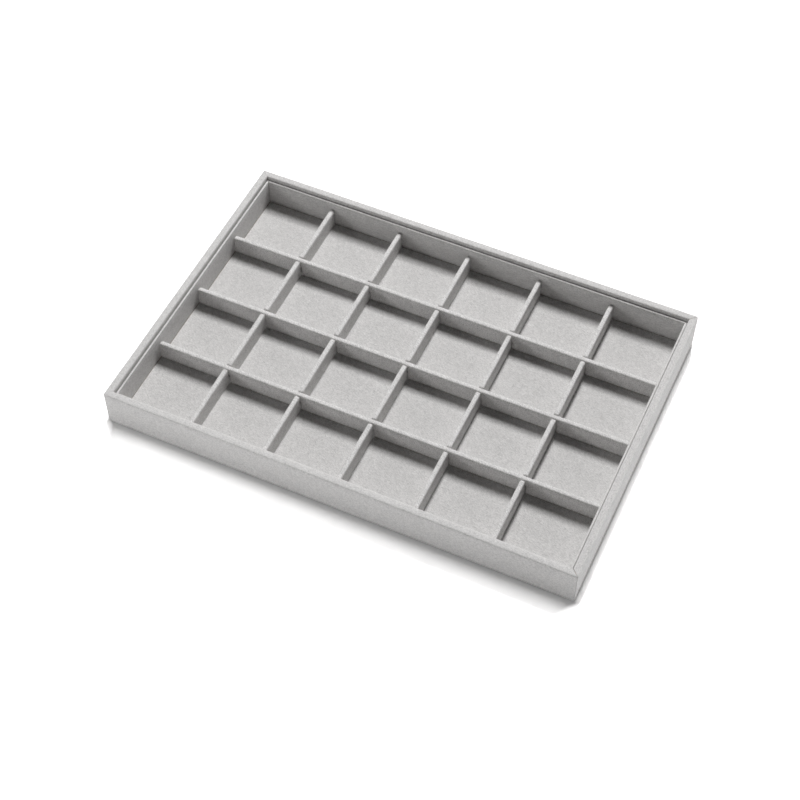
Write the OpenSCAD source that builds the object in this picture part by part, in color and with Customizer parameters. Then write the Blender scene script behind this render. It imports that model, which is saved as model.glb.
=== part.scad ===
// Jewelry tray with a lift-out insert and an interlocking grid of dividers.
// Origin: centre of the underside. X runs along the long side, -Y is the front, +Z is up. Millimetres.

/* [Tray] */
// Outside width, along the long side
tray_w = 350; // [240:1:480]
// Outside depth, front to back
tray_d = 240; // [170:1:340]
// Outside height, table to rim
tray_h = 30; // [28:0.5:60]
// Thickness of the side rails, without their wrap
rail_t = 4.5; // [3.5:0.1:8]
// Thickness of the base board between the rails
base_t = 3; // [2:0.1:5]
// Radius of the rim's edges, outside the wrap
rim_r = 1; // [0.8:0.1:1.6]
// Radius of the bottom outer edge, outside the wrap
foot_r = 1; // [0.8:0.1:2]
// Radius of the four upright corners, outside the wrap
corner_r = 1.2; // [0.8:0.1:3]

/* [Covering] */
// Thickness of the suede covering
suede_t = 0.4; // [0.25:0.05:0.6]
// Thickness of the sheet under the tray
underside_t = 0.5; // [0.3:0.1:1]
// How far the rail wraps turn in under the base
turn_in = 14; // [10:1:25]
// Margin between the tray's outside and the sheet under it
underside_inset = 2; // [1:0.5:6]
// Gap of the seam where two wraps or boards meet in a mitre
seam_gap = 0.1; // [0.05:0.05:0.3]
// Gap round a lining sheet that is laid between walls
sheet_gap = 0.2; // [0.1:0.1:0.5]

/* [Insert] */
// Running gap all round between the insert and the tray
insert_gap = 0.6; // [0.3:0.1:2]
// Thickness of the insert's floor board
insert_board_t = 1; // [0.6:0.1:2]
// Thickness of the insert's upright liner boards
liner_board_t = 0.7; // [0.5:0.1:2]
// Drop from the rim to the liner's top edge
liner_drop = 3.2; // [1:0.1:5]
// Radius of the liner's covered top edge
liner_edge_r = 0.5; // [0.3:0.05:0.5]
// How far the liner covers turn down on the outside
liner_turn = 10; // [4:1:14]

/* [Dividers] */
// Cells along the width
columns = 6; // [2:1:8]
// Cells along the depth
rows = 4; // [2:1:6]
// How much deeper the front and back cells are than those between them
end_cell_extra = 1.5; // [0:0.1:3]
// Thickness of a covered divider
divider_t = 3.6; // [2.8:0.1:6]
// Height of a divider above the insert's floor
divider_h = 15; // [8:0.5:18]
// Radius along a divider's top edges
divider_edge_r = 1.2; // [0.8:0.1:1.3]
// Radius of a divider's top end corners, seen from the side
divider_corner_r = 2; // [1:0.1:4]
// Gap between a divider's end and the liner
end_gap = 0.3; // [0.2:0.1:1]
// Gap on each side of a half-lap slot
slot_gap = 0.3; // [0.2:0.05:0.6]
// Radius of the mouths of the slots that are open at the top
mouth_r = 1.2; // [0.8:0.1:2]

/* [Hidden] */
$fn = 48;
// Overrun of every cut
overrun = 1;

// The side with index k is the first one turned k quarter turns
sides = ["left", "front", "right", "back"];
side_ids = [0 : len(sides) - 1];
cross_ids = [1 : columns - 1];
long_ids = [1 : rows - 1];

// Heights, from the table up
rail_z = underside_t + suede_t;
base_top = rail_z + base_t;
lining_top = base_top + suede_t;
insert_board_top = lining_top + insert_board_t;
floor_z = insert_board_top + suede_t;
divider_top = floor_z + divider_h;
lap_z = floor_z + divider_h / 2;
liner_top = tray_h - liner_drop;

// Walls, from the outside in
wall_t = rail_t + 2 * suede_t;
base_inset = suede_t + rail_t;
liner_t = liner_board_t + 2 * suede_t;
insert_w = tray_w - 2 * (wall_t + insert_gap);
insert_d = tray_d - 2 * (wall_t + insert_gap);
clear_w = insert_w - 2 * liner_t;
clear_d = insert_d - 2 * liner_t;

// Grid of dividers
pitch_x = (clear_w + divider_t) / columns;
pitch_y = (clear_d + divider_t - 2 * end_cell_extra) / rows;
slot_w = divider_t + 2 * slot_gap;

// Centres of divider number i, counted from the left and from the front
function cross_x(i) = (i - columns / 2) * pitch_x;
function long_y(i) = (i - rows / 2) * pitch_y;

// Upright section t wide with rounded top corners and, if foot is given, a rounded bottom corner at x = 0
module section(t, low, high, top_r, foot = 0) {
    translate([0, low + foot]) square([t, high - low - top_r - foot]);
    translate([foot, low]) square([t - foot, high - low - top_r]);
    translate([top_r, low + foot]) square([t - 2 * top_r, high - low - foot]);
    for (x = [top_r, t - top_r]) translate([x, high - top_r]) circle(r = top_r);
    if (foot > 0) translate([foot, low + foot]) circle(r = foot);
}

// A section run along side k of a frame w by d, with mitred ends. The section's x goes inwards from the outside.
module frame_side(k, w, d, depth) {
    run = k % 2 == 0 ? d : w;
    half_across = (k % 2 == 0 ? w : d) / 2;
    half_run = run / 2 - seam_gap / sqrt(2);
    rotate(90 * k) translate([-half_across, 0, 0]) intersection() {
        rotate([90, 0, 0]) linear_extrude(height = run, center = true) children();
        linear_extrude(height = tray_h + overrun)
            polygon([[0, -half_run], [depth, depth - half_run], [depth, half_run - depth], [0, half_run]]);
    }
}

// The tray's outside in plan, set in all round
module tray_plan(inset) {
    w = tray_w - 2 * inset;
    d = tray_d - 2 * inset;
    r = corner_r - inset;
    square([w - 2 * r, d], center = true);
    square([w, d - 2 * r], center = true);
    for (x = [r - w / 2, w / 2 - r], y = [r - d / 2, d / 2 - r]) translate([x, y]) circle(r = r);
}

// A flat sheet or board, centred on the origin
module sheet(w, d, low, thick) {
    translate([-w / 2, -d / 2, low]) cube([w, d, thick]);
}

module base_board() {
    color("burlywood") sheet(tray_w - 2 * base_inset, tray_d - 2 * base_inset, rail_z, base_t);
}

module tray_floor_lining() {
    inset = wall_t + sheet_gap;
    color("darkgray") sheet(tray_w - 2 * inset, tray_d - 2 * inset, base_top, suede_t);
}

module underside_cover() {
    color("gray") sheet(tray_w - 2 * underside_inset, tray_d - 2 * underside_inset, 0, underside_t);
}

module rail_section() {
    translate([suede_t, 0])
        section(rail_t, rail_z, tray_h - suede_t, rim_r - suede_t, foot_r - suede_t);
}

module rail(k) {
    color("burlywood") intersection() {
        frame_side(k, tray_w, tray_d, wall_t + overrun) rail_section();
        linear_extrude(height = tray_h) tray_plan(suede_t);
    }
}

// One strip of suede: under the base, up the outside, over the rim and down the inside to the base board
module rail_wrap(k) {
    color("lightgray") intersection() {
        frame_side(k, tray_w, tray_d, turn_in + overrun) wrap_section();
        linear_extrude(height = tray_h + overrun) tray_plan(0);
    }
}

module wrap_section() {
    difference() {
        union() {
            section(wall_t, underside_t, tray_h, rim_r, foot_r);
            translate([foot_r, underside_t]) square([turn_in - foot_r, suede_t]);
        }
        rail_section();
        translate([base_inset, rail_z]) square([turn_in, base_t]);
    }
}

module insert_board() {
    color("tan") sheet(insert_w, insert_d, lining_top, insert_board_t);
}

module insert_floor_cover() {
    color("silver") sheet(clear_w - 2 * sheet_gap, clear_d - 2 * sheet_gap, insert_board_top, suede_t);
}

module liner_board(k) {
    color("tan") frame_side(k, insert_w, insert_d, liner_t + overrun)
        translate([suede_t, insert_board_top])
            square([liner_board_t, liner_top - suede_t - insert_board_top]);
}

// Suede folded over the liner's top edge: down to the floor inside, a short turn-down outside
module liner_cover(k) {
    foot_z = insert_board_top - overrun;
    color("lightgray") frame_side(k, insert_w, insert_d, liner_t + overrun) difference() {
        section(liner_t, insert_board_top, liner_top, liner_edge_r);
        translate([suede_t, foot_z]) square([liner_board_t, liner_top - suede_t - foot_z]);
        translate([-overrun, foot_z]) square([suede_t + overrun, liner_top - liner_turn - foot_z]);
    }
}

// Slot from above with rounded mouths, set back from the covered one by inset
module slot_from_above(inset) {
    half = slot_w / 2 + inset;
    bottom = lap_z - slot_gap / 2 - inset;
    top = divider_top - inset;
    r = mouth_r - inset;
    translate([-half, bottom]) square([2 * half, top + overrun - bottom]);
    difference() {
        translate([-half - r, top - r]) square([2 * (half + r), r + overrun]);
        for (x = [-half - r, half + r]) translate([x, top - r]) circle(r = r);
    }
}

// Slot from below, with the same meaning of inset
module slot_from_below(inset) {
    half = slot_w / 2 + inset;
    low = floor_z - overrun;
    translate([-half, low]) square([2 * half, lap_z + slot_gap / 2 + inset - low]);
}

// A divider along X, run long: rounded over its top, and slotted where children are drawn in side view.
// It is set in all round by inset, apart from its underside, which reaches down to low.
module divider_blank(run, inset, low) {
    thick = divider_t - 2 * inset;
    length = run - 2 * inset;
    high = divider_top - inset;
    intersection() {
        rotate([90, 0, 90]) linear_extrude(height = length, center = true)
            translate([-thick / 2, 0]) section(thick, low, high, divider_edge_r - inset);
        rotate([90, 0, 0]) linear_extrude(height = divider_t, center = true) difference() {
            translate([-length / 2, 0]) section(length, low, high, divider_corner_r - inset);
            children();
        }
    }
}

// The long dividers drop into slots in the cross dividers, so these are slotted from above
module cross_blank(inset, low) {
    divider_blank(clear_d - 2 * end_gap, inset, low)
        for (j = long_ids) translate([long_y(j), 0]) slot_from_above(inset);
}

// The long dividers are slotted from below, and their tops run unbroken over the cross dividers
module long_blank(inset, low) {
    divider_blank(clear_w - 2 * end_gap, inset, low)
        for (j = cross_ids) translate([cross_x(j), 0]) slot_from_below(inset);
}

module cross_divider_core(i) {
    color("tan") translate([cross_x(i), 0, 0]) rotate(90) cross_blank(suede_t, floor_z);
}

// The covers wrap the cores all round, slots and ends too, and are open at the bottom
module cross_divider_cover(i) {
    color("lightgray") translate([cross_x(i), 0, 0]) rotate(90) difference() {
        cross_blank(0, floor_z);
        cross_blank(suede_t, floor_z - overrun);
    }
}

module long_divider_core(i) {
    color("tan") translate([0, long_y(i), 0]) long_blank(suede_t, floor_z);
}

module long_divider_cover(i) {
    color("gainsboro") translate([0, long_y(i), 0]) difference() {
        long_blank(0, floor_z);
        long_blank(suede_t, floor_z - overrun);
    }
}

base_board();
tray_floor_lining();
underside_cover();
for (k = side_ids) rail(k);
for (k = side_ids) rail_wrap(k);
insert_board();
insert_floor_cover();
for (k = side_ids) liner_board(k);
for (k = side_ids) liner_cover(k);
for (i = cross_ids) cross_divider_core(i);
for (i = cross_ids) cross_divider_cover(i);
for (i = long_ids) long_divider_core(i);
for (i = long_ids) long_divider_cover(i);
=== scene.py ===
import math

import bmesh
import bpy
from mathutils import Matrix, Vector


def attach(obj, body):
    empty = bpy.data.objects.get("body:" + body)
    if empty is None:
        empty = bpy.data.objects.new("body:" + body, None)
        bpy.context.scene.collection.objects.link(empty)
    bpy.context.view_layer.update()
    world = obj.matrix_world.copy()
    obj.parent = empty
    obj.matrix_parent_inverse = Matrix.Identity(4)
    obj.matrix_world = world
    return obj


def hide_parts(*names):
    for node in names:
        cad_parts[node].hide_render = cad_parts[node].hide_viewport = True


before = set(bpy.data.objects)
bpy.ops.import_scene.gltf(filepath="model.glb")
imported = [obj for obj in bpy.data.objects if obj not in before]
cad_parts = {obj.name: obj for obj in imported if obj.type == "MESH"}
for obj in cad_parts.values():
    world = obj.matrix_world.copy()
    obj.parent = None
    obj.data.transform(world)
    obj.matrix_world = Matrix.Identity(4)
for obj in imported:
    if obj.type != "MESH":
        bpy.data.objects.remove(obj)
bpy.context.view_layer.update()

print("frame loaded,", len(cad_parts), "nodes")

mm = 0.001      # every size below is in millimetres
near = 0.00002  # how close counts as the same place, in metres
sliver = 0.06   # shorter edges than this are merged away
facing = 0.9    # a face whose normal has this much of an axis looks along it

sides = ["left", "front", "right", "back"]  # side number k is the first one turned k quarter turns

# Sizes that several pieces share, the same as in the solids
tray = {"width": 350, "depth": 240, "bottom": 0.5}
suedeSheet = {"thickness": 0.4, "floor": 5.7}
grid = {"columns": 6, "rows": 4, "clearWidth": 335.2, "clearDepth": 225.2, "thickness": 3.6, "top": 20.7}
endCellExtra = 1.5  # the front and back cells are this much deeper than those between them
grid["pitchX"] = (grid["clearWidth"] + grid["thickness"]) / grid["columns"]
grid["pitchY"] = (grid["clearDepth"] + grid["thickness"] - 2 * endCellExtra) / grid["rows"]


def crossX(number):
    return (number - grid["columns"] / 2) * grid["pitchX"]


def longY(number):
    return (number - grid["rows"] / 2) * grid["pitchY"]


# The camera stands where the photograph was taken from
cameraView = {
    "turn": 24.3602, "tilt": 52.5885, "roll": 0.4302,                       # degrees
    "distance": 1199.449, "aside": -4.3223, "up": -13.6244, "nearest": 10,  # millimetres
    "focalPixels": 1674.36, "photoPixels": 800, "sensor": 36,
}


def placeCamera():
    turn, tilt, roll = (math.radians(cameraView[key]) for key in ("turn", "tilt", "roll"))
    back = Vector((math.sin(turn) * math.cos(tilt), -math.cos(turn) * math.cos(tilt), math.sin(tilt)))
    right = Vector((math.cos(turn), math.sin(turn), 0))
    up = back.cross(right)
    right, up = right * math.cos(roll) + up * math.sin(roll), up * math.cos(roll) - right * math.sin(roll)
    place = back * cameraView["distance"] + right * cameraView["aside"] + up * cameraView["up"]
    turned = Matrix((right, up, back)).transposed()
    bpy.ops.object.camera_add(location=place * mm, rotation=turned.to_euler())
    camera = bpy.context.object
    camera.name = "photoCamera"
    camera.data.sensor_fit = "HORIZONTAL"
    camera.data.sensor_width = cameraView["sensor"]
    camera.data.lens = cameraView["focalPixels"] / cameraView["photoPixels"] * cameraView["sensor"]
    camera.data.clip_start = cameraView["nearest"] * mm
    bpy.context.scene.camera = camera


placeCamera()
print("camera placed")


# Small helpers for selecting, cutting and finishing
def deselectAll():
    bpy.ops.object.select_all(action="DESELECT")


def takeUp(piece):
    deselectAll()
    piece.select_set(True)
    bpy.context.view_layer.objects.active = piece


def openEdit(piece, kind="FACE"):
    takeUp(piece)
    bpy.ops.object.mode_set(mode="EDIT")
    bpy.ops.mesh.select_mode(type=kind)
    bpy.ops.mesh.select_all(action="DESELECT")


def closeEdit():
    bpy.ops.object.mode_set(mode="OBJECT")


def pickFaces(piece, test):
    mesh = bmesh.from_edit_mesh(piece.data)
    for face in mesh.faces:
        face.select_set(test(face.calc_center_median(), face.normal))
    bmesh.update_edit_mesh(piece.data)


def pickEdges(piece, test):
    bpy.ops.mesh.select_all(action="DESELECT")
    mesh = bmesh.from_edit_mesh(piece.data)
    for edge in mesh.edges:
        if test(edge.verts[0].co, edge.verts[1].co):
            edge.select_set(True)
    bmesh.update_edit_mesh(piece.data)


# Picks the rim edges, those between a broad face, which the test knows, and a narrow one
def pickRim(piece, isBroad):
    mesh = bmesh.from_edit_mesh(piece.data)
    for edge in mesh.edges:
        broad = [isBroad(face.normal) for face in edge.link_faces]
        edge.select_set(len(broad) == 2 and broad[0] != broad[1])
    bmesh.update_edit_mesh(piece.data)


def pickVerts(piece, test):
    mesh = bmesh.from_edit_mesh(piece.data)
    for vert in mesh.verts:
        vert.select_set(test(vert.co))
    bmesh.update_edit_mesh(piece.data)


def isAt(value, target):
    return abs(value - target * mm) < near


# A test for edges that run front to back at this x and height
def runsAt(x, z):
    return lambda a, b: isAt(a.x, x) and isAt(b.x, x) and isAt(a.z, z) and isAt(b.z, z)


def cutAll(axis, places):
    normal = [0, 0, 0]
    normal[axis] = 1
    for place in places:
        spot = [0, 0, 0]
        spot[axis] = place * mm
        bpy.ops.mesh.select_all(action="SELECT")
        bpy.ops.mesh.bisect(plane_co=spot, plane_no=normal)


def steps(low, high, pace):
    count = max(1, round((high - low) / pace))
    return [low + (high - low) * k / count for k in range(1, count)]


def settle(piece):
    takeUp(piece)
    bpy.ops.object.transform_apply(location=True, rotation=True, scale=True)


def applyModifier(piece, kind, **settings):
    takeUp(piece)
    modifier = piece.modifiers.new(kind.lower(), kind)
    for key, value in settings.items():
        setattr(modifier, key, value)
    bpy.ops.object.modifier_apply(modifier=modifier.name)


def copyPiece(piece, name):
    twin = piece.copy()
    twin.data = piece.data.copy()
    twin.name = name
    bpy.context.collection.objects.link(twin)
    return twin


waveShift = (0.137, 0.071)  # metres along X and Y by which each seed moves the waves


# Hand-stretched cloth is never quite flat
def ripple(piece, size, depth, seed):
    texture = bpy.data.textures.new("ripple", "CLOUDS")
    texture.noise_scale = size * mm
    texture.noise_depth = 1
    takeUp(piece)
    piece.location = (seed * waveShift[0], seed * waveShift[1], 0)
    bpy.ops.object.transform_apply(location=True, rotation=False, scale=False)
    applyModifier(
        piece, "DISPLACE", texture=texture, texture_coords="LOCAL", strength=depth * mm, mid_level=0.5,
    )
    takeUp(piece)
    piece.location = (-seed * waveShift[0], -seed * waveShift[1], 0)
    bpy.ops.object.transform_apply(location=True, rotation=False, scale=False)


# Gives a skin its thickness, inwards from the side that shows
def thicken(piece, thickness):
    openEdit(piece, "VERT")
    bpy.ops.mesh.select_all(action="SELECT")
    bpy.ops.mesh.remove_doubles(threshold=sliver * mm)
    closeEdit()
    applyModifier(piece, "SOLIDIFY", thickness=thickness * mm, offset=-1, use_quality_normals=True)


def smooth(piece, angle=35):
    takeUp(piece)
    bpy.ops.object.shade_smooth_by_angle(angle=math.radians(angle))


def dress(piece, material):
    piece.data.materials.clear()
    piece.data.materials.append(material)


# The cloth on everything in sight: clouds, a fine nap and short fibres laid one way
suedeLook = {
    "colour": (0.641, 0.632, 0.625), "reach": 0.7,  # the middle tint, and how far the tints swing round it
    "mottleSize": 4.5, "napSize": 0.9, "fibreLength": 2.4, "fibreWidth": 0.4,  # millimetres
    "mottle": 0.20, "nap": 0.80, "fibre": 0.80,  # strength of each pattern
    "mottleNoise": (3, 0.5), "napNoise": (4, 0.65), "fibreNoise": (3, 0.6),  # detail and roughness
    "seedShift": (0.31, 0.17),  # metres
    "bump": 0.20, "bumpStrength": 0.6,
    "sheen": 0.12, "sheenSpread": 0.5, "gloss": 0.15, "rough": (0.82, 1.0),
}


def addNode(tree, kind, inputs=None, **settings):
    node = tree.nodes.new(kind)
    for key, value in settings.items():
        setattr(node, key, value)
    for key, value in (inputs or {}).items():
        if isinstance(value, bpy.types.NodeSocket):
            tree.links.new(value, node.inputs[key])
        else:
            node.inputs[key].default_value = value
    return node


def addMath(tree, operation, *values):
    return addNode(tree, "ShaderNodeMath", dict(enumerate(values)), operation=operation).outputs[0]


def addRamp(tree, value, span, reach=(0, 1)):
    return addNode(tree, "ShaderNodeMapRange", {
        "Value": value, "From Min": span[0], "From Max": span[1], "To Min": reach[0], "To Max": reach[1],
    }).outputs[0]


def addNoise(tree, vector, size, noise):
    return addNode(tree, "ShaderNodeTexNoise", {
        "Vector": vector, "Scale": 1 / (size * mm), "Detail": noise[0], "Roughness": noise[1],
    }).outputs["Fac"]


def newMaterial(name):
    material = bpy.data.materials.new(name)
    material.use_nodes = True
    tree = material.node_tree
    tree.nodes.clear()
    shader = addNode(tree, "ShaderNodeBsdfPrincipled")
    output = addNode(tree, "ShaderNodeOutputMaterial")
    tree.links.new(shader.outputs["BSDF"], output.inputs["Surface"])
    return material, tree, shader


def shades(colour, factor):
    return tuple(channel * factor for channel in colour) + (1,)


# Lets the factor swing the shader's colour from a darker to a lighter tint
def tint(tree, shader, factor, colour, swing, tone=1.0):
    mix = addNode(tree, "ShaderNodeMix", data_type="RGBA")
    tree.links.new(factor, mix.inputs["Factor"])
    mix.inputs["A"].default_value = shades(colour, tone * (1 - swing))
    mix.inputs["B"].default_value = shades(colour, tone * (1 + swing))
    tree.links.new(mix.outputs["Result"], shader.inputs["Base Color"])


def raiseBumps(tree, shader, height, strength, depth):
    bump = addNode(tree, "ShaderNodeBump", {"Height": height, "Strength": strength, "Distance": depth * mm})
    tree.links.new(bump.outputs["Normal"], shader.inputs["Normal"])


# One tint of the cloth: tone lightens or darkens it, which for the grid and the floor is painted light and
# shade; turn lays the fibres along another direction, seed moves the pattern
def makeSuede(name, tone, turn=0, seed=0, contrast=1.0):
    look = suedeLook
    material, tree, shader = newMaterial(name)
    place = addNode(tree, "ShaderNodeTexCoord").outputs["Object"]
    laid = addNode(tree, "ShaderNodeMapping", {
        "Vector": place, "Rotation": (0, 0, math.radians(turn)),
        "Location": (seed * look["seedShift"][0], seed * look["seedShift"][1], 0),
    }).outputs["Vector"]
    drawn = addNode(tree, "ShaderNodeMapping", {
        "Vector": laid, "Scale": (look["fibreWidth"] / look["fibreLength"], 1, 1),
    }).outputs["Vector"]
    mottle = addNoise(tree, laid, look["mottleSize"], look["mottleNoise"])
    nap = addNoise(tree, laid, look["napSize"], look["napNoise"])
    fibre = addNoise(tree, drawn, look["fibreWidth"], look["fibreNoise"])
    total = addMath(tree, "MULTIPLY", mottle, look["mottle"])
    for noise, share in ((nap, "nap"), (fibre, "fibre")):
        total = addMath(tree, "ADD", total, addMath(tree, "MULTIPLY", noise, look[share]))
    middle = (look["mottle"] + look["nap"] + look["fibre"]) / 2
    half = look["reach"] / contrast
    factor = addRamp(tree, total, (middle - half, middle + half))
    tint(tree, shader, factor, look["colour"], look["reach"], tone)
    tree.links.new(addRamp(tree, nap, (0, 1), look["rough"]), shader.inputs["Roughness"])
    raiseBumps(tree, shader, total, look["bumpStrength"], look["bump"])
    shader.inputs["Specular IOR Level"].default_value = look["gloss"]
    shader.inputs["Sheen Weight"].default_value = look["sheen"]
    shader.inputs["Sheen Roughness"].default_value = look["sheenSpread"]
    return material


# Pressed boards and paper: soft clouds with fine specks
boardLook = {
    "fibreboard": {"colour": (0.44, 0.30, 0.18), "grain": 1.1, "speck": 0.35, "swing": 0.24, "bump": 0.05},
    "greyboard": {"colour": (0.30, 0.27, 0.24), "grain": 1.6, "speck": 0.5, "swing": 0.20, "bump": 0.03},
    "greyPaper": {"colour": (0.20, 0.20, 0.20), "grain": 3.0, "speck": 0.4, "swing": 0.12, "bump": 0.02},
}
boardFinish = {
    "grainNoise": (3, 0.5), "speckNoise": (2, 0.7), "span": (0.7, 1.3),
    "bumpStrength": 0.5, "rough": 0.85, "gloss": 0.25,
}


def makeBoard(name):
    look, finish = boardLook[name], boardFinish
    material, tree, shader = newMaterial(name)
    place = addNode(tree, "ShaderNodeTexCoord").outputs["Object"]
    grain = addNoise(tree, place, look["grain"], finish["grainNoise"])
    speck = addNoise(tree, place, look["speck"], finish["speckNoise"])
    both = addMath(tree, "ADD", grain, speck)
    tint(tree, shader, addRamp(tree, both, finish["span"]), look["colour"], look["swing"])
    raiseBumps(tree, shader, both, finish["bumpStrength"], look["bump"])
    shader.inputs["Roughness"].default_value = finish["rough"]
    shader.inputs["Specular IOR Level"].default_value = finish["gloss"]
    return material


fibreboard = makeBoard("fibreboard")
greyboard = makeBoard("greyboard")
greyPaper = makeBoard("greyPaper")
# One suede covers everything; the grid's copy is lighter, a painted highlight on the divider tops, and the
# floor's copy is darker, painted shade in the cells
suedeAlong = makeSuede("suedeAlong", tone=1.02)
suedeAcross = makeSuede("suedeAcross", tone=1.02, turn=90, seed=1)
suedeFloorPaintedShade = makeSuede("suedeFloorPaintedShade", tone=0.925, turn=20, seed=2)
suedeGridPaintedLight = makeSuede("suedeGridPaintedLight", tone=1.075, turn=35, seed=4, contrast=1.45)
liningCloth = makeSuede("liningCloth", tone=0.8, seed=3)
print("materials made")


# Draws the square upright corners of a frame in to an arc
def roundCorners(piece, halfWidth, halfDepth, radius):
    flatX, flatY = (halfWidth - radius) * mm, (halfDepth - radius) * mm
    for vert in piece.data.vertices:
        over = Vector((abs(vert.co.x) - flatX, abs(vert.co.y) - flatY))
        if min(over) > 0:
            over *= max(over) / over.length
            vert.co.x = math.copysign(flatX + over.x, vert.co.x)
            vert.co.y = math.copysign(flatY + over.y, vert.co.y)


# A strip of suede round a rail or a liner board, mitred at the corners. It is modelled as the
# left side's, along Y, cut to the mitres and then turned to its side
def makeStrip(name, k, look, low, foot):
    width, depth = (look["width"], look["depth"]) if k % 2 == 0 else (look["depth"], look["width"])
    outer, half = -width / 2, depth / 2
    inner, high = outer + look["thickness"], look["top"]
    deselectAll()
    bpy.ops.mesh.primitive_cube_add(size=1, location=((outer + inner) / 2 * mm, 0, (low + high) / 2 * mm))
    strip = bpy.context.object
    strip.name = name
    strip.scale = (look["thickness"] * mm, depth * mm, (high - low) * mm)
    settle(strip)
    openEdit(strip)
    pickFaces(strip, lambda centre, normal: abs(normal.y) > facing or normal.x > facing)
    bpy.ops.mesh.delete(type="FACE")
    if foot:
        # The sheet under the rail runs on as the turn-in
        bpy.ops.mesh.select_mode(type="EDGE")
        pickEdges(strip, runsAt(inner, low))
        bpy.ops.transform.translate(value=((look["turnIn"] - look["thickness"]) * mm, 0, 0))
    else:
        pickFaces(strip, lambda centre, normal: normal.z < -facing)
        bpy.ops.mesh.delete(type="FACE")
        bpy.ops.mesh.select_mode(type="EDGE")
    pickEdges(strip, runsAt(inner, high))
    bpy.ops.mesh.extrude_region_move(TRANSFORM_OT_translate={"value": (0, 0, (look["inside"] - high) * mm)})
    pickEdges(strip, lambda a, b: isAt(a.z, high) and isAt(b.z, high) and abs(a.x - b.x) < near)
    bpy.ops.mesh.bevel(offset=look["rimRadius"] * mm, segments=look["segments"], affect="EDGES")
    if foot:
        pickEdges(strip, runsAt(outer, low))
        bpy.ops.mesh.bevel(offset=look["rimRadius"] * mm, segments=look["segments"], affect="EDGES")
    radius = look["cornerRadius"]
    cutAll(1, steps(-half, half, look["pace"]))
    cutAll(1, [way * (half - radius * part) for way in (-1, 1) for part in look["cornerCuts"]])
    cutAll(2, steps(low, high, look["pace"]))
    for end, gap in ((1, look["seamGaps"][k]), (-1, look["seamGaps"][(k + 1) % len(sides)])):
        outwards = Vector((1, end, 0)).normalized()
        spot = (Vector((outer, end * half, 0)) - outwards * gap / 2) * mm
        bpy.ops.mesh.select_all(action="SELECT")
        bpy.ops.mesh.bisect(plane_co=spot, plane_no=outwards, clear_outer=True)
    closeEdit()
    roundCorners(strip, -outer, half, radius)
    strip.rotation_euler.z = math.radians(90 * k)
    settle(strip)
    ripple(strip, look["rippleSize"], look["ripple"], look["seed"])
    thicken(strip, suedeSheet["thickness"])
    smooth(strip)
    dress(strip, suedeAcross if k % 2 == 0 else suedeAlong)
    return strip


railWrap = {
    "width": 350, "depth": 240, "thickness": 5.3, "top": 30, "inside": 3.9, "turnIn": 14,
    "rimRadius": 1.0, "cornerRadius": 1.2, "cornerCuts": (0.25, 0.6, 1), "segments": 4, "pace": 6,
    "seamGaps": (0.06, 0.06, 0.30, 0.30),  # back left, front left, front right, back right
    "rippleSize": 22, "ripple": 0.16, "seed": 0,
    "cloth": 73.6,  # width of the flat strip
}
for k, side in enumerate(sides):
    strip = makeStrip(side + "_wrap", k, railWrap, tray["bottom"], True)
    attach(strip, "tray")
    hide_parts(side + "_rail_wrap")
print("rails wrapped")

linerCover = {
    "width": 338.2, "depth": 228.2, "thickness": 1.5, "top": 26.8, "inside": 5.3, "outside": 16.8,
    "rimRadius": 0.5, "cornerRadius": 0.6, "cornerCuts": (0.25, 0.6, 1), "segments": 3, "pace": 6,
    "seamGaps": (0.25, 0.12, 0.20, 0.20),
    "rippleSize": 20, "ripple": 0.12, "seed": 1,
    "cloth": 32.6,
}
for k, side in enumerate(sides):
    strip = makeStrip(side + "_liner", k, linerCover, linerCover["outside"], False)
    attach(strip, "insert")
    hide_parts(side + "_liner_cover")
print("liner covered")


# Dividers: one of each kind is modelled along X and copied
divider = {
    "endGap": 0.3, "slot": 4.2, "lap": 13.2, "lapGap": 0.15, "endRadius": 2.0, "mouthRadius": 1.2,
    "edgeRadius": 1.1, "segments": 4, "pace": 5, "rippleSize": 24, "ripple": 0.18, "smoothAngle": 40,
    "hem": {"cross": 0.15, "long": 0.6},  # how high over the floor the fold ends
    "cloth": 33,                          # width of the flat strip if it reached the floor
}


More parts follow.
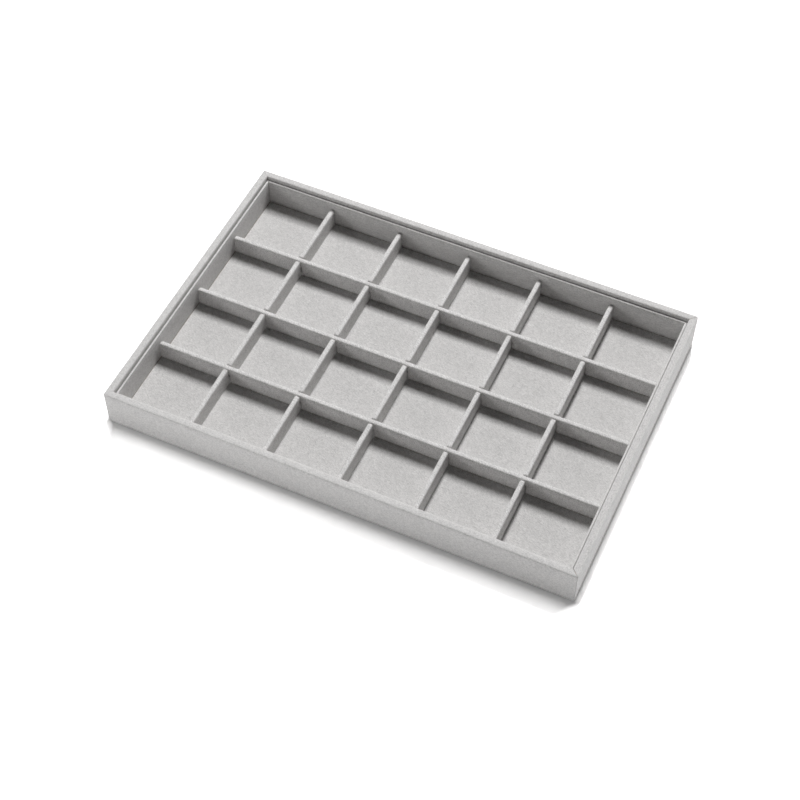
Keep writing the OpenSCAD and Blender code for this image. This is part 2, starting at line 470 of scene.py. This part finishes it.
def makeDivider(name, length, slots, openTop):
    look = divider
    hem = look["hem"]["cross" if openTop else "long"]
    low, high, half = suedeSheet["floor"] + hem, grid["top"], length / 2
    deselectAll()
    bpy.ops.mesh.primitive_plane_add(
        size=1, location=(0, 0, (low + high) / 2 * mm), rotation=(math.radians(90), 0, 0),
    )
    blank = bpy.context.object
    blank.name = name
    blank.scale = (length * mm, (high - low) * mm, 1)
    settle(blank)
    openEdit(blank)
    sideLines = [slot + way * look["slot"] / 2 for slot in slots for way in (-1, 1)]
    cutAll(0, sideLines)
    lap = look["lap"] - look["lapGap"] if openTop else look["lap"] + look["lapGap"]
    cutAll(2, [lap])

    def inSlot(centre, normal):
        between = any(abs(centre.x - slot * mm) < look["slot"] * mm / 2 for slot in slots)
        return between and (centre.z > lap * mm) == openTop

    pickFaces(blank, inSlot)
    bpy.ops.mesh.delete(type="FACE")
    bpy.ops.mesh.select_mode(type="VERT")
    pickVerts(blank, lambda spot: isAt(spot.z, high) and isAt(abs(spot.x), half))
    bpy.ops.mesh.bevel(offset=look["endRadius"] * mm, segments=look["segments"], affect="VERTICES")
    if openTop:
        pickVerts(blank, lambda spot: isAt(spot.z, high) and any(isAt(spot.x, line) for line in sideLines))
        bpy.ops.mesh.bevel(offset=look["mouthRadius"] * mm, segments=look["segments"], affect="VERTICES")
    cutAll(0, steps(-half, half, look["pace"]))
    cutAll(2, steps(low, high, look["pace"]))
    closeEdit()
    applyModifier(blank, "SOLIDIFY", thickness=grid["thickness"] * mm, offset=0)
    openEdit(blank)
    bpy.ops.mesh.select_all(action="SELECT")
    bpy.ops.mesh.remove_doubles(threshold=near / 2)
    bpy.ops.mesh.normals_make_consistent(inside=False)
    pickFaces(blank, lambda centre, normal: isAt(centre.z, low))
    bpy.ops.mesh.delete(type="FACE")
    bpy.ops.mesh.select_mode(type="EDGE")
    pickRim(blank, lambda normal: abs(normal.y) > facing)
    bpy.ops.mesh.bevel(offset=look["edgeRadius"] * mm, segments=look["segments"], affect="EDGES")
    closeEdit()
    return blank


# Where each divider leans in the play of its slots: shift in millimetres and turn in degrees
lean = {
    "cross": {1: (0.0, 0), 2: (0.1, 0), 3: (-0.05, 0), 4: (0.08, 0), 5: (-0.1, 0)},
    "long": {1: (0.08, 0.02), 2: (-0.07, 0.05), 3: (0.0, 0.07)},
}


def layDividers(kind, blank, count, place, body):
    for number in range(1, count):
        name = f"{kind}_divider_{number}"
        piece = copyPiece(blank, name)
        shift, turn = lean[kind][number]
        piece.rotation_euler.z = math.radians(turn + (90 if kind == "cross" else 0))
        piece.location[0 if kind == "cross" else 1] = (place(number) + shift) * mm
        settle(piece)
        ripple(piece, divider["rippleSize"], divider["ripple"], number)
        thicken(piece, suedeSheet["thickness"])
        smooth(piece, divider["smoothAngle"])
        dress(piece, suedeGridPaintedLight)
        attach(piece, body.format(number))
        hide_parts(name + "_cover")
    bpy.data.objects.remove(blank)


crossLength = grid["clearDepth"] - 2 * divider["endGap"]
longLength = grid["clearWidth"] - 2 * divider["endGap"]
crossBlank = makeDivider("crossBlank", crossLength, [longY(j) for j in range(1, grid["rows"])], True)
longBlank = makeDivider("longBlank", longLength, [crossX(j) for j in range(1, grid["columns"])], False)
layDividers("cross", crossBlank, grid["columns"], crossX, "cross_dividers")
layDividers("long", longBlank, grid["rows"], longY, "long_divider_{}")
print("dividers folded")


# Flat sheets: the floor under the jewelry, the lining below it and the paper underneath
laidSheets = {
    "insert_floor": {
        "width": 334.1, "depth": 224.1, "top": 5.7, "thickness": 0.4, "corner": 0.5, "edge": 0.12,
        "ripple": 0.10, "rippleSize": 26, "pace": 5, "material": suedeFloorPaintedShade, "slot": "suede",
        "body": "insert", "node": "insert_floor_cover", "on": "insert_board", "held": "laid",
    },
    "tray_lining": {
        "width": 339, "depth": 229, "top": 4.3, "thickness": 0.4, "corner": 0.5, "edge": 0.15,
        "ripple": 0.08, "rippleSize": 30, "pace": 8, "material": liningCloth, "slot": "lining",
        "body": "tray", "node": "tray_floor_lining", "on": "base_board", "held": "laid",
    },
    "underside_sheet": {
        "width": 346, "depth": 236, "top": 0.5, "thickness": 0.5, "corner": 2.0, "edge": 0.1,
        "ripple": 0.02, "rippleSize": 40, "pace": 10, "material": greyPaper, "slot": "underside_paper",
        "body": "tray", "node": "underside_cover", "on": "base_board", "held": "stretched",
    },
}
sheetFinish = {
    "cornerSegments": 3, "edgeSegments": 2, "seed": 4,
    "level": 0.7,  # a face whose normal has more of Z than this is the sheet's top or underside
}


def laySheet(name):
    look, finish = laidSheets[name], sheetFinish
    halfWidth, halfDepth = look["width"] / 2, look["depth"] / 2
    deselectAll()
    bpy.ops.mesh.primitive_plane_add(size=1, location=(0, 0, look["top"] * mm))
    piece = bpy.context.object
    piece.name = name
    piece.scale = (look["width"] * mm, look["depth"] * mm, 1)
    settle(piece)
    openEdit(piece, "VERT")
    bpy.ops.mesh.select_all(action="SELECT")
    bpy.ops.mesh.bevel(offset=look["corner"] * mm, segments=finish["cornerSegments"], affect="VERTICES")
    cutAll(0, steps(-halfWidth, halfWidth, look["pace"]))
    cutAll(1, steps(-halfDepth, halfDepth, look["pace"]))
    closeEdit()
    ripple(piece, look["rippleSize"], look["ripple"], finish["seed"])
    thicken(piece, look["thickness"])
    openEdit(piece, "EDGE")
    pickRim(piece, lambda normal: abs(normal.z) > finish["level"])
    bpy.ops.mesh.bevel(offset=look["edge"] * mm, segments=finish["edgeSegments"], affect="EDGES")
    closeEdit()
    smooth(piece)
    dress(piece, look["material"])
    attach(piece, look["body"])
    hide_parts(look["node"])


for name in laidSheets:
    laySheet(name)
print("sheets laid")

# Boards and cores that the solids already shape
for name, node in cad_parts.items():
    if name == "base_board" or name.endswith("_rail"):
        dress(node, fibreboard)
    elif name == "insert_board" or name.endswith("_liner_board") or name.endswith("_core"):
        dress(node, greyboard)
    elif name == "underside_cover":
        dress(node, greyPaper)
    elif name == "tray_floor_lining":
        dress(node, liningCloth)
    else:
        dress(node, suedeAlong)
print("boards finished")

# The floor is a sheet of pale paper. As the camera sees it, its brightness is graded with distance from the
# tray: darker close by, a painted shadow edge laid over the lamps' shadow, and white further out
studio = {
    "floorSize": 5000, "floorDrop": 0.1,  # millimetres
    "floorColour": 0.95, "room": 0.03, "backdrop": 1.0,
    # How bright the camera sees the floor: from and to how far outside the tray, from and to which
    # brightness. It is white, apart from the shadow that lies close in front and to the right, which these
    # ramps partly paint: darker near the tray and brighter away from it
    "inView": {
        "front": (1, 12, 0.75, 4.4), "right": (0, 2, 1.2, 2.8), "left": (-6, 0, 0.7, 1.6),
        "behind": (-2, 0, 0.7, 1.25), "open": (60, 400, 0.7, 4.2), "far": (350, 900, 0.7, 36),
        "rightTip": (0, 6, 0.7, 6.2), "leftTip": (-4, 5, 0.7, 5.6),
    },
}


def makeFloor():
    deselectAll()
    bpy.ops.mesh.primitive_plane_add(
        size=studio["floorSize"] * mm, location=(0, 0, -studio["floorDrop"] * mm),
    )
    ground = bpy.context.object
    ground.name = "studioFloor"
    settle(ground)
    material, tree, shader = newMaterial("floorPaper")
    path = addNode(tree, "ShaderNodeLightPath")
    mix = addNode(tree, "ShaderNodeMix", data_type="RGBA")
    tree.links.new(path.outputs["Is Camera Ray"], mix.inputs["Factor"])
    mix.inputs["A"].default_value = (studio["floorColour"],) * 3 + (1,)
    place = addNode(tree, "ShaderNodeTexCoord").outputs["Object"]
    parts = addNode(tree, "ShaderNodeSeparateXYZ", {"Vector": place}).outputs
    halfWidth, halfDepth = tray["width"] / 2 * mm, tray["depth"] / 2 * mm
    left = addMath(tree, "MULTIPLY_ADD", parts["X"], -1, -halfWidth)
    right = addMath(tree, "MULTIPLY_ADD", parts["X"], 1, -halfWidth)
    front = addMath(tree, "MULTIPLY_ADD", parts["Y"], -1, -halfDepth)
    behind = addMath(tree, "MULTIPLY_ADD", parts["Y"], 1, -halfDepth)
    away = left
    for distance in (right, front, behind):
        away = addMath(tree, "MAXIMUM", away, distance)
    # Past the two front corners the painted shadow fades along its end
    rightTip = addMath(tree, "ADD", front, right)
    leftTip = addMath(tree, "ADD", front, left)
    distances = {
        "front": front, "right": right, "left": left, "behind": behind, "open": away, "far": away,
        "rightTip": rightTip, "leftTip": leftTip,
    }
    level = None
    for key, distance in distances.items():
        start, end, low, high = studio["inView"][key]
        part = addRamp(tree, distance, (start * mm, end * mm), (low, high))
        level = part if level is None else addMath(tree, "MAXIMUM", level, part)
    shade = addNode(tree, "ShaderNodeCombineColor", {0: level, 1: level, 2: level}).outputs[0]
    tree.links.new(shade, mix.inputs["B"])
    diffuse = addNode(tree, "ShaderNodeBsdfDiffuse", {"Color": mix.outputs["Result"]})
    output = next(node for node in tree.nodes if node.type == "OUTPUT_MATERIAL")
    tree.nodes.remove(shader)
    tree.links.new(diffuse.outputs["BSDF"], output.inputs["Surface"])
    dress(ground, material)


def lightRoom():
    world = bpy.data.worlds.new("studioRoom")
    bpy.context.scene.world = world
    world.use_nodes = True
    tree = world.node_tree
    tree.nodes.clear()
    white = (1, 1, 1, 1)
    room = addNode(tree, "ShaderNodeBackground", {"Color": white, "Strength": studio["room"]})
    backdrop = addNode(tree, "ShaderNodeBackground", {"Color": white, "Strength": studio["backdrop"]})
    path = addNode(tree, "ShaderNodeLightPath")
    seen = path.outputs["Is Camera Ray"]
    for ray in ("Is Glossy Ray", "Is Transmission Ray"):
        seen = addMath(tree, "MAXIMUM", seen, path.outputs[ray])
    mix = addNode(tree, "ShaderNodeMixShader", {0: seen, 1: room.outputs[0], 2: backdrop.outputs[0]})
    addNode(tree, "ShaderNodeOutputWorld", {"Surface": mix.outputs[0]})


# Places and sizes in millimetres, power in watts; each lamp looks at its aim and is unseen by the camera
lamps = {
    "keyLamp": {"place": (-60, 708, 1300), "aim": (-60, -266, 1075), "size": (195, 685), "power": 31.0},
    "fillLamp": {"place": (-671, -923, 371), "aim": (0, 0, 10), "size": (600, 200), "power": 1.9},
    "frontStrip": {"place": (-110, -420, 32), "aim": (-60, 0, 32), "size": (700, 60), "power": 0.39},
    "rightStrip": {"place": (480, 0, 32), "aim": (0, 0, 32), "size": (500, 60), "power": 0.50},
}


def hangLamp(name):
    look = lamps[name]
    spot = Vector(look["place"]) * mm
    turned = (spot - Vector(look["aim"]) * mm).to_track_quat("Z", "Y").to_euler()
    bpy.ops.object.light_add(type="AREA", location=spot, rotation=turned)
    lamp = bpy.context.object
    lamp.name = name
    lamp.data.shape = "RECTANGLE"
    lamp.data.size = look["size"][0] * mm
    lamp.data.size_y = look["size"][1] * mm
    lamp.data.energy = look["power"]
    lamp.visible_camera = False


makeFloor()
lightRoom()
for name in lamps:
    hangLamp(name)
bpy.context.scene.view_settings.view_transform = "Standard"
print("studio lit")

deselectAll()
